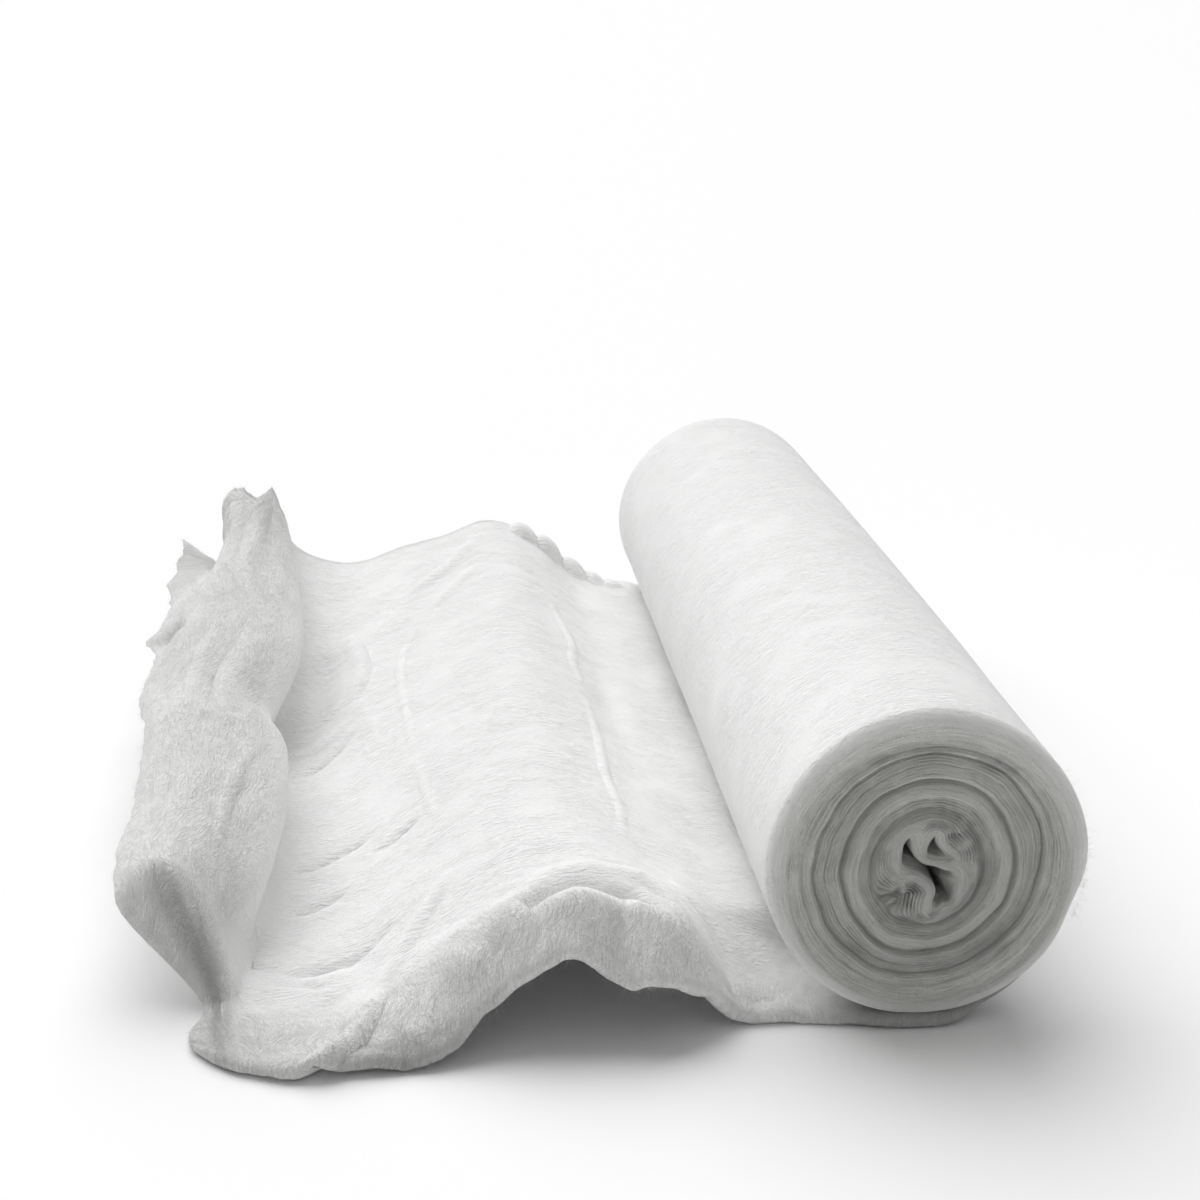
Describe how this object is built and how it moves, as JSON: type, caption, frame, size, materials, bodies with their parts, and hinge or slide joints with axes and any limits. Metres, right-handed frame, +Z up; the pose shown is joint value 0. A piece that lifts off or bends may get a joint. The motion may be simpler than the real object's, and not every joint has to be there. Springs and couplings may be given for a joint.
{
  "type": "gamgee roll",
  "caption": "Wide roll of soft cotton gamgee tissue lying on its side, its loose end drawn out flat beside it in soft folds and torn at the tip.",
  "frame": {"origin": "on the table, at the middle of the footprint of the roll with its loose end", "axes": "+Y along the roll's axis away from the end face that is seen, +X from the loose end towards the roll, +Z up"},
  "size_m": [0.3258, 0.4736, 0.1098],
  "materials": {
    "wound_tissue": "matt bleached cotton with a thin crinkled gauze face, the end faces showing fine wound layers",
    "loose_tissue": "matt bleached cotton with a thin crinkled gauze face, fluffy and torn at its end"
  },
  "bodies": {
    "root": {"wound_roll": "wound_tissue", "loose_end": "loose_tissue"}
  },
  "joints": []
}
